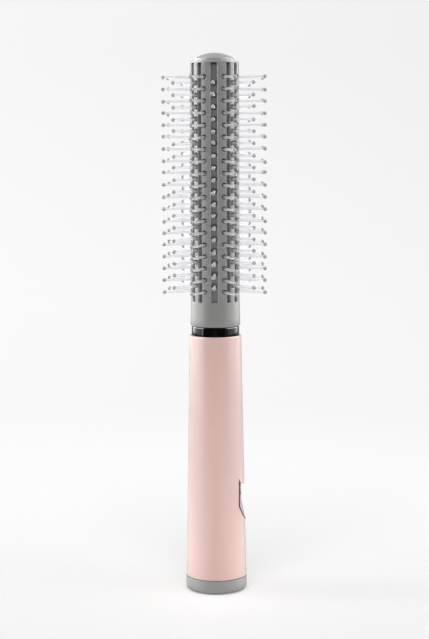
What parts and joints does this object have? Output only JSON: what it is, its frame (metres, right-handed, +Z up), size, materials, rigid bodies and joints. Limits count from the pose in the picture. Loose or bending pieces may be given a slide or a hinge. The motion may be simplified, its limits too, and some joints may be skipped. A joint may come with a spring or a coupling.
{
  "type": "steam hair brush",
  "caption": "Cordless round steam hair brush with a slotted heated barrel, clear ball-tipped bristles, a tapered handle with recessed buttons, and a pull-off base cap",
  "frame": {"origin": "centre of the foot pad's underside, where the brush stands", "axes": "+Z up the handle and barrel to the rounded tip, +X towards the side with the button recess, -Y towards the front row of bristles"},
  "size_m": [0.0548, 0.0564, 0.2858],
  "materials": {
    "blush_plastic": "satin",
    "foot_rubber": "matt",
    "seal_silicone": "satin",
    "stopper_silicone": "satin",
    "panel_plastic": "satin",
    "button_plastic": "satin",
    "switch_plastic": "matt",
    "plunger_plastic": "matt",
    "clear_plastic": "gloss",
    "led_package": "gloss",
    "board_laminate": "satin",
    "chip_package": "matt",
    "socket_steel": "satin",
    "screw_steel": "satin",
    "frame_nylon": "matt",
    "cell_wrap": "satin",
    "nickel_tab": "satin",
    "tank_plastic": "gloss",
    "hose_silicone": "satin",
    "pump_plastic": "matt",
    "motor_can": "satin",
    "neck_plastic": "satin",
    "gloss_black": "gloss",
    "barrel_grey": "satin",
    "tube_aluminium": "satin",
    "strip_plastic": "matt",
    "pin_nylon": "gloss",
    "tip_resin": "gloss",
    "gasket_silicone": "satin",
    "ceramic_plastic": "matt",
    "core_aluminium": "satin",
    "stone_ceramic": "matt",
    "electrode_aluminium": "satin",
    "polyimide_film": "gloss",
    "sensor_glass": "gloss",
    "vaporiser_brass": "satin",
    "fuse_can": "satin",
    "wire_silicone": "satin"
  },
  "bodies": {
    "handle": {"handle_sleeve": "blush_plastic", "button_panel": "panel_plastic", "power_switch": "switch_plastic", "steam_switch": "switch_plastic", "light_pipe": "clear_plastic", "status_led": "led_package", "control_board": "board_laminate", "board_chips": "chip_package", "board_screws": "screw_steel", "usb_socket": "socket_steel", "chassis": "frame_nylon", "neck_screws": "screw_steel", "battery_cell": "cell_wrap", "battery_tabs": "nickel_tab", "water_tank": "tank_plastic", "tank_lid": "tank_plastic", "tank_retainer": "frame_nylon", "dip_tube": "hose_silicone", "suction_hose": "hose_silicone", "pump_head": "pump_plastic", "pump_motor": "motor_can", "delivery_hose": "hose_silicone", "neck": "neck_plastic", "trim_ring": "gloss_black", "barrel": "barrel_grey", "top_cap": "barrel_grey", "heat_tube": "tube_aluminium", "bristle_strips": "strip_plastic", "bristle_pins": "pin_nylon", "bristle_tips": "tip_resin", "steam_gasket": "gasket_silicone", "base_plug": "ceramic_plastic", "end_plug": "ceramic_plastic", "tie_rods": "screw_steel", "heater_core": "core_aluminium", "ptc_stones": "stone_ceramic", "heater_electrodes": "electrode_aluminium", "heater_film": "polyimide_film", "temperature_sensor": "sensor_glass", "vaporiser": "vaporiser_brass", "thermal_fuse": "fuse_can", "heater_wires": "wire_silicone"},
    "base_cap": {"base_cap": "barrel_grey", "foot_pad": "foot_rubber", "cap_seal": "seal_silicone", "tank_stopper": "stopper_silicone"},
    "power_button": {"power_button": "button_plastic", "power_plunger": "plunger_plastic"},
    "steam_button": {"steam_button": "button_plastic", "steam_plunger": "plunger_plastic"}
  },
  "joints": [
    {"name": "power_button_press", "type": "slide", "parent": "handle", "child": "power_button", "axis": [-0.9991, 0.0419, 0], "range_m": [0, 0.0006], "stiffness_N_per_m": 2000},
    {"name": "steam_button_press", "type": "slide", "parent": "handle", "child": "steam_button", "axis": [-0.9991, 0.0419, 0], "range_m": [0, 0.0006], "stiffness_N_per_m": 2000},
    {"name": "base_cap_pull", "type": "slide", "parent": "handle", "child": "base_cap", "axis": [0, 0, -1], "range_m": [0, 0.03]}
  ]
}
